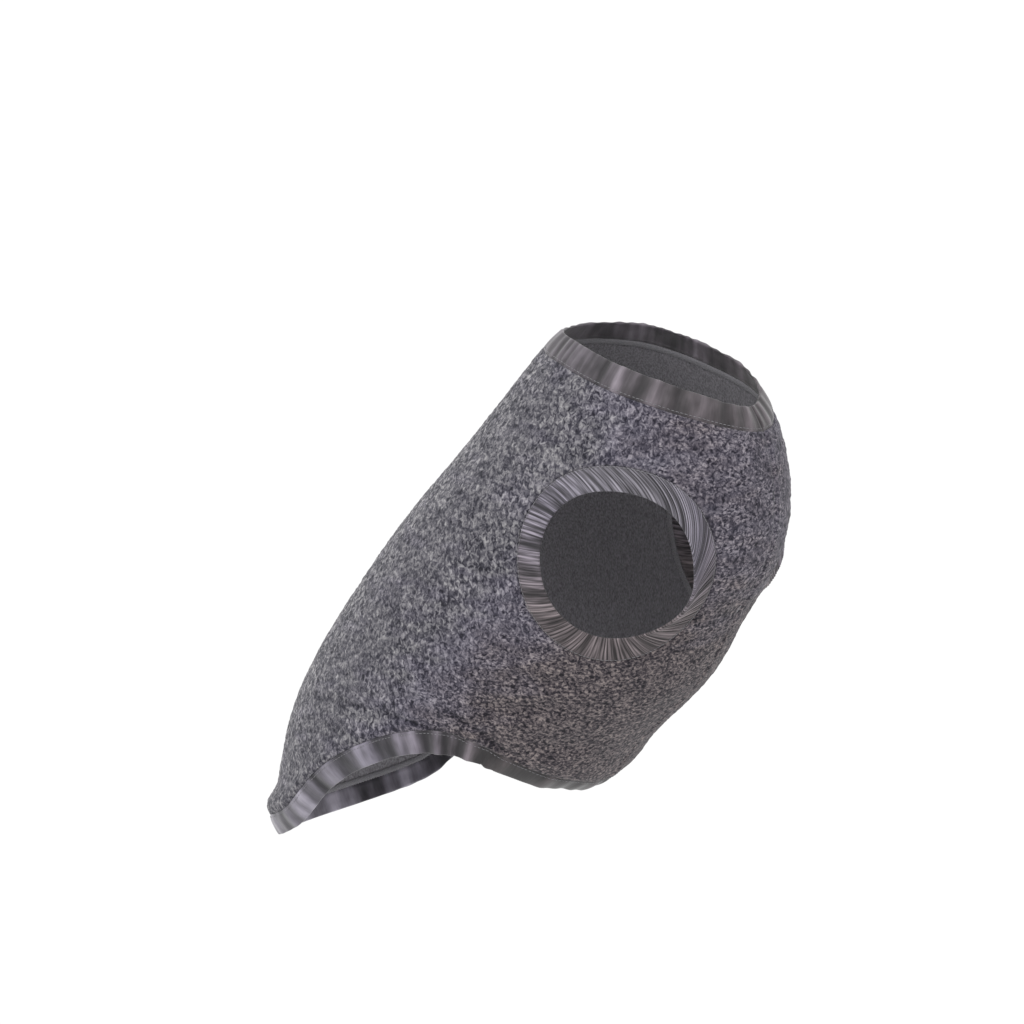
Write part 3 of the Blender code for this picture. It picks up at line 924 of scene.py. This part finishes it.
def add_band(name, edging, turns, skew, height, tint_and_shade, material, replaces):
    """A band from its relief's height and its tint and painted shade at each turn, with a map of its
    cloth.
    """
    curl = edging.curl(turns)
    rows = []
    for across, deep, share in zip(*profile(edging.width)):
        at = turns + skew * across / edging.width
        point, normal = strip(edging.seam, at, np.full(len(turns), across), curl, edging.sign)
        rows.append(point + (height * share - (FLEECE - BAND_CLOTH) - deep)[:, None] * normal)
    rows = np.array(rows)
    numbers = np.arange(rows.shape[0] * rows.shape[1]).reshape(rows.shape[:2])
    quads = grid_quads(np.pad(numbers, ((0, 1), (0, 1)), mode="wrap"))
    flip = (turns[1] > turns[0]) == (edging.sign > 0)
    order = slice(None, None, -1) if flip else slice(None)
    faces = quads.reshape(-1, 4)[:, order]
    piece = add_object(name, rows.reshape(-1, 3), [faces], material, replaces)
    add_knit_map(piece, rows, order)
    add_values(piece, "wave", np.broadcast_to(height, rows.shape[:2]).ravel())
    add_values(piece, "tint_and_painted_shade", np.broadcast_to(tint_and_shade, rows.shape[:2]).ravel())
    return piece


def around_lengths(points):
    """Distances along a closed line of points, from its first point round to it again."""
    steps = np.linalg.norm(np.roll(points, -1, axis=0) - points, axis=1)
    return np.concatenate([[0], np.cumsum(steps)])


def add_knit_map(piece, rows, order):
    """A map in metres along a band's seam and across its cloth."""
    across, along = np.meshgrid(around_lengths(rows[:, 0]), around_lengths(rows[0]), indexing="ij")
    corners = np.stack([along, across], axis=-1) * MM
    maps = np.stack([corners[:-1, :-1], corners[:-1, 1:], corners[1:, 1:], corners[1:, :-1]], axis=2)
    knit = piece.data.uv_layers.new(name="knit")
    knit.data.foreach_set("uv", maps[:, :, order].reshape(-1).astype(np.float32))


def waves(turn, table):
    """Height of a band's soft waves."""
    height = np.zeros(len(turn))
    for wave in table:
        away = (np.degrees(turn) - wave.degrees + 180) % 360 - 180
        height += wave.height * np.exp(-((away / wave.width) ** 2))
    return height


def swaying(turn, sways):
    """The sum of slow changes round a seam."""
    return sum(sway.amount * np.sin(sway.cycles * turn + sway.phase) for sway in sways)


def puckers(count, size):
    """Heights of a band's uneven puckers, at this many points."""
    turn = np.arange(size) * 2 * np.pi / size
    pucker = (1 + np.cos(turn * count + swaying(turn, PUCKER_DRIFT))) / 2
    return PUCKER_HEIGHT * pucker * (PUCKER_MEAN + swaying(turn, PUCKER_SWAY))


def add_edge_band(name, edging, count, table, tint_and_shade, material, replaces):
    """The neck's or the hem's band. warm is its least tint, and how much of the fleece's painted shade it
    takes on.
    """
    turns = evenly(hem_seam, count * PUCKER_POINTS)
    height = puckers(count, len(turns)) + waves(turns, table)
    least, more = tint_and_shade
    # The band takes on the fleece's painted shade, darker and browner towards the belly
    tint_and_shade = least + more * tint_and_painted_shade(*edging.seam(turns))
    return add_band(name, edging, turns, 0, height, tint_and_shade, material, replaces)


def add_armhole_band(name, edging, material, replaces):
    """An armhole's band, whose ribs slant as ARMHOLE_EDGES says."""
    size = ARMHOLE_RIBS * RIB_POINTS
    turn = np.arange(size) * 2 * np.pi / size
    turns = -edging.sign * turn
    radius, skew, _ = np.moveaxis(armhole_edge_at(turns % (2 * np.pi)), -1, 0)
    rib = np.abs(np.sin(np.pi * np.arange(size) / RIB_POINTS)) ** RIB_ROUNDNESS
    uneven = RIB_MEAN + swaying(turn, RIB_SWAY)
    height = RIB_HEIGHT * rib * uneven + waves(turns, ARMHOLE_WAVES)
    # Painted shading: the band is painted lighter at its top and darker and browner at its bottom
    tint_and_shade = ARMHOLE_TINT - ARMHOLE_PAINTED_SHADING * np.sin(turns)
    return add_band(name, edging, turns, skew / radius, height, tint_and_shade, material, replaces)


def stitch_turns(seam):
    """The turns of the points along each stitch of a row, with one row of them to a stitch."""
    _, length = seam_lengths(fleece, seam)
    count = int(length[-1] / (STITCH_LENGTH + STITCH_GAP))
    share = STITCH_LENGTH / (STITCH_LENGTH + STITCH_GAP)
    places = (np.arange(count)[:, None] + np.linspace(0, 1, STITCH_POINTS) * share) / count
    knots = 4 * count
    return np.interp(places, np.arange(knots + 1) / knots, np.append(evenly(seam, knots), np.pi))


def add_stitches(name, edging, inset, table, material):
    """A row of stitches on a band, each a short thread with its ends sunk."""
    turns = stitch_turns(edging.seam)
    count = len(turns)
    turns = turns.ravel()
    across = np.full(len(turns), inset)
    point, normal = strip(edging.seam, turns, across, edging.curl(turns), edging.sign)
    beyond, _ = strip(edging.seam, turns + SMALL_TURN, across, edging.curl(turns), edging.sign)
    beside = np.cross(normal, unit(beyond - point))
    arch = np.tile(np.sin(np.pi * np.linspace(0, 1, STITCH_POINTS)), count)
    lift = STITCH_WAVES * waves(turns, table) + STITCH_LIFT - (FLEECE - BAND_CLOTH)
    lift = lift + STITCH_RADIUS * (STITCH_ARCH * arch - STITCH_SINK)
    thick = STITCH_RADIUS * (STITCH_TIP + (1 - STITCH_TIP) * arch)
    angle = np.arange(STITCH_SIDES) * 2 * np.pi / STITCH_SIDES
    around = np.cos(angle)[:, None] * beside[:, None] + np.sin(angle)[:, None] * normal[:, None]
    rings = (point + lift[:, None] * normal)[:, None] + thick[:, None, None] * around
    numbers = np.arange(len(turns) * STITCH_SIDES).reshape(count, STITCH_POINTS, STITCH_SIDES)
    wrapped = np.concatenate([numbers, numbers[..., :1]], axis=-1)
    quads = np.concatenate([grid_quads(stitch).reshape(-1, 4) for stitch in wrapped])
    caps = np.concatenate([numbers[:, 0, ::-1], numbers[:, -1]])
    return add_object(name, rings.reshape(-1, 3), [quads, caps], material, None)


class Shader:
    """A material whose nodes are added one by one."""

    def __init__(self, name):
        self.material = bpy.data.materials.new(name)
        self.material.use_nodes = True
        self.tree = self.material.node_tree
        self.surface = self.tree.nodes["Principled BSDF"]

    def node(self, kind, inputs=(), **settings):
        """Adds a node. inputs pairs sockets' names or numbers with values or with other sockets."""
        made = self.tree.nodes.new(kind)
        for key, value in settings.items():
            setattr(made, key, value)
        for key, value in dict(inputs).items():
            if isinstance(value, bpy.types.NodeSocket):
                self.tree.links.new(value, made.inputs[key])
            else:
                made.inputs[key].default_value = value
        return made

    def attribute(self, name):
        return self.node("ShaderNodeAttribute", attribute_name=name).outputs["Fac"]

    def noise(self, place, scale, detail=2.0, roughness=0.5, distortion=0.0):
        inputs = {"Vector": place, "Scale": scale, "Detail": detail}
        inputs |= {"Roughness": roughness, "Distortion": distortion}
        return self.node("ShaderNodeTexNoise", inputs).outputs["Fac"]

    def grain(self, kind):
        """Noise over the piece, as a Grain says."""
        where = self.node("ShaderNodeTexCoord").outputs["Object"]
        place = self.node("ShaderNodeMapping", {"Vector": where, "Scale": kind.squeeze}).outputs[0]
        return self.noise(place, *kind[1:])

    def streaks(self, kind):
        """Noise over a band, along and across its knit, as a Streak says."""
        where = self.node("ShaderNodeUVMap", uv_map="knit").outputs[0]
        inputs = {"Vector": where, "Scale": (1 / kind.pitch, 1 / kind.length, 1)}
        return self.noise(self.node("ShaderNodeMapping", inputs).outputs[0], 1.0)

    def math(self, operation, first, second=0.0, third=0.0, clamp=False):
        inputs = {0: first, 1: second, 2: third}
        return self.node("ShaderNodeMath", inputs, operation=operation, use_clamp=clamp).outputs[0]

    def ramp(self, fac, stops):
        """A colour ramp. stops pairs positions with colours."""
        made = self.node("ShaderNodeValToRGB", {"Fac": fac})
        elements = made.color_ramp.elements
        while len(elements) < len(stops):
            elements.new(1.0)
        for element, (position, colour) in zip(elements, stops):
            element.position = position
            element.color = (*colour, 1.0)
        return made.outputs["Color"]

    def total(self, start, *parts):
        """start and the sum of each part times its weight."""
        for part, weight in parts:
            start = self.math("MULTIPLY_ADD", part, weight, start)
        return start

    def blend(self, fac, first, second):
        """A number from first to second as fac goes from 0 to 1."""
        return self.total(first, (self.math("SUBTRACT", second, first), fac))

    def mix(self, fac, first, second, blend="MIX"):
        """Two colours mixed. The node's sockets 6, 7 and 2 are its colours and its result."""
        inputs = {0: fac, 6: first, 7: second}
        return self.node("ShaderNodeMix", inputs, data_type="RGBA", blend_type=blend).outputs[2]

    def bump(self, height, distance, strength=1.0, normal=None):
        inputs = {"Height": height, "Distance": distance, "Strength": strength}
        if normal is not None:
            inputs["Normal"] = normal
        return self.node("ShaderNodeBump", inputs).outputs[0]

    def finish(self, colour, roughness, normal, sheen=0.0):
        self.tree.links.new(colour, self.surface.inputs["Base Color"])
        self.tree.links.new(normal, self.surface.inputs["Normal"])
        self.surface.inputs["Roughness"].default_value = roughness
        self.surface.inputs["Specular IOR Level"].default_value = CLOTH_SPECULAR
        self.surface.inputs["Sheen Weight"].default_value = sheen
        self.surface.inputs["Sheen Roughness"].default_value = SHEEN_ROUGHNESS
        return self.material


def tinted_and_shaded(shader, colour, tint_and_shade):
    """A grey colour, made violet and then brown and darker, a painted shade, as warm goes from 0 to 1."""
    return shader.mix(1.0, colour, shader.ramp(tint_and_shade, SHADE_TINTS), "MULTIPLY")


def yarn_loops(shader, tint_and_shade, clumps):
    """The fleece's loops: upright, or lying in patches where warm is high, and broad on the back."""
    upright = shader.grain(UPRIGHT_LOOPS)
    lying = shader.total(-0.09, (shader.grain(LYING_LOOPS), 1.18))
    patches = shader.math("ADD", shader.total(-5.0, (tint_and_shade, 5.0), (clumps, 6.0)), 0.0, clamp=True)
    broad = shader.total(-0.19, (shader.grain(BACK_LOOPS), 1.38))
    sides = shader.blend(patches, upright, lying)
    return shader.blend(shader.attribute("back"), sides, broad)


def fleece_material():
    """Marled looped yarn: grey curls over charcoal, and plain knit inside."""
    shader = Shader("marled_fleece")
    tint_and_shade = shader.attribute("tint_and_painted_shade")
    clumps = shader.grain(CLUMPS)
    curls = yarn_loops(shader, tint_and_shade, clumps)
    fibres = shader.grain(LOOSE_FIBRES)
    crease_shade = shader.attribute("crease_shade")
    # The crease term paints shade into troughs and highlight onto ridges
    tone = shader.total(-0.21, (curls, 1.0), (clumps, 0.22), (fibres, 0.2), (crease_shade, 0.09))
    # Painted shade: darker and browner towards the belly, in drifting patches
    tint_and_shade = shader.total(-0.45, (tint_and_shade, 1.0), (shader.grain(SHADE_DRIFT), 0.9))
    marled = tinted_and_shaded(shader, shader.ramp(tone, MARL), tint_and_shade)
    plain = shader.ramp(shader.grain(PLAIN_KNIT), PLAIN_GREYS)
    colour = shader.mix(shader.attribute("inside"), marled, plain)
    normal = shader.bump(curls, 0.0010, 0.8)
    normal = shader.bump(fibres, 0.0004, 0.5, normal)
    return shader.finish(colour, 0.92, normal, 0.12)


def rib_material(name, knit):
    """Ribbed knit, with painted shade in its grooves and hollows and painted highlight on its ridges."""
    shader = Shader(name)
    streaks = shader.streaks(knit.streak)
    yarns = shader.streaks(knit.yarn)
    tint_and_shade = shader.attribute("tint_and_painted_shade")
    start = knit.middle - (knit.streak.weight + knit.yarn.weight) / 2 - WAVE_MIDDLE * knit.contrast
    tone = shader.total(start, (streaks, knit.streak.weight), (yarns, knit.yarn.weight))
    # Painted shade in the band's hollows and grooves, painted highlight on its ridges, and painted shade
    # by its tint
    tone = shader.total(tone, (shader.attribute("wave"), knit.contrast), (tint_and_shade, knit.shade))
    colour = tinted_and_shaded(shader, shader.ramp(tone, RIB_GREYS), tint_and_shade)
    return shader.finish(colour, knit.roughness, shader.bump(yarns, 0.0003, 0.6), 0.2)


def plain_material(name, colour, roughness):
    """One even colour."""
    shader = Shader(name)
    shader.surface.inputs["Base Color"].default_value = (*colour, 1)
    shader.surface.inputs["Roughness"].default_value = roughness
    return shader.material


def thread_material():
    """Grey twisted thread."""
    shader = Shader("stitch_thread")
    twist = shader.grain(THREAD_TWIST)
    return shader.finish(shader.ramp(twist, THREAD_GREYS), 0.6, shader.bump(twist, 0.0001, 0.5), 0.2)


def add_floor():
    """A plain pale floor that runs out of sight."""
    half = FLOOR_SIZE / 2
    corners = ((-half, -half), (half, -half), (half, half), (-half, half))
    mesh = bpy.data.meshes.new("floor")
    mesh.from_pydata([(x, y, FLOOR * MM) for x, y in corners], [], [(0, 1, 2, 3)])
    mesh.materials.append(plain_material("pale_floor", 3 * (FLOOR_GREY,), 1.0))
    floor = bpy.data.objects.new("floor", mesh)
    bpy.context.scene.collection.objects.link(floor)


def direction(azimuth, elevation):
    """The way from the vest to a viewer or a light."""
    azimuth, elevation = np.radians([azimuth, elevation])
    out = np.cos(elevation)
    return Vector((np.sin(azimuth) * out, -np.cos(azimuth) * out, np.sin(elevation)))


def add_camera():
    """The camera, as far round and as high as the photo was taken from."""
    camera = bpy.data.objects.new("camera", bpy.data.cameras.new("camera"))
    camera.data.lens = LENS
    camera.data.clip_end = FARTHEST
    bpy.context.scene.collection.objects.link(camera)
    bpy.context.scene.camera = camera
    towards = direction(AZIMUTH, ELEVATION)
    camera.location = (Vector(AIM) + DISTANCE * towards) * MM
    camera.rotation_euler = towards.to_track_quat("Z", "Y").to_euler()


def add_key():
    """A wide, soft sun."""
    light = bpy.data.lights.new("key", "SUN")
    light.energy = KEY_STRENGTH
    light.angle = np.radians(KEY_SPREAD)
    lamp = bpy.data.objects.new("key", light)
    bpy.context.scene.collection.objects.link(lamp)
    lamp.rotation_euler = direction(KEY_AZIMUTH, KEY_ELEVATION).to_track_quat("Z", "Y").to_euler()


def add_world():
    """White light from all round."""
    world = bpy.data.worlds.new("studio")
    world.use_nodes = True
    background = world.node_tree.nodes["Background"]
    background.inputs["Color"].default_value = (1, 1, 1, 1)
    background.inputs["Strength"].default_value = WORLD_STRENGTH
    bpy.context.scene.world = world


def add_vest():
    """All the pieces, and what cloth each one is."""
    marled = fleece_material()
    hem_knit = rib_material("hem_knit", HEM_KNIT)
    neck_knit = rib_material("neck_knit", NECK_KNIT)
    armhole_knit = rib_material("armhole_knit", ARMHOLE_KNIT)
    thread = thread_material()
    body = add_fleece(marled)
    neck = add_edge_band("neck_rib", NECK, NECK_PUCKERS, NECK_WAVES, NECK_TINT_AND_SHADE, neck_knit, "neck_band")
    hem = add_edge_band("hem_rib", HEM, HEM_PUCKERS, HEM_WAVES, HEM_TINT_AND_SHADE, hem_knit, "hem_band")
    right = add_armhole_band("armhole_rib_right", ARMHOLE_RIGHT, armhole_knit, "armhole_band_right")
    left = add_armhole_band("armhole_rib_left", ARMHOLE_LEFT, armhole_knit, "armhole_band_left")
    neck_row = add_stitches("neck_stitches", NECK, STITCH_INSET, NECK_WAVES, thread)
    hem_row = add_stitches("hem_stitches", HEM, STITCH_INSET, HEM_WAVES, thread)
    right_row = add_stitches("armhole_stitches_right", ARMHOLE_RIGHT, ARMHOLE_STITCH_INSET, (), thread)
    left_row = add_stitches("armhole_stitches_left", ARMHOLE_LEFT, ARMHOLE_STITCH_INSET, (), thread)
    cords = [
        add_seam_cord("neck_cord", NECK, thread),
        add_seam_cord("hem_cord", HEM, thread),
        add_seam_cord("armhole_cord_right", ARMHOLE_RIGHT, thread),
        add_seam_cord("armhole_cord_left", ARMHOLE_LEFT, thread),
        add_chest_cord("chest_cord", thread),
    ]


def main():
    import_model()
    add_camera()
    add_vest()
    add_floor()
    add_key()
    add_world()
    bpy.context.scene.view_settings.view_transform = "Standard"


main()
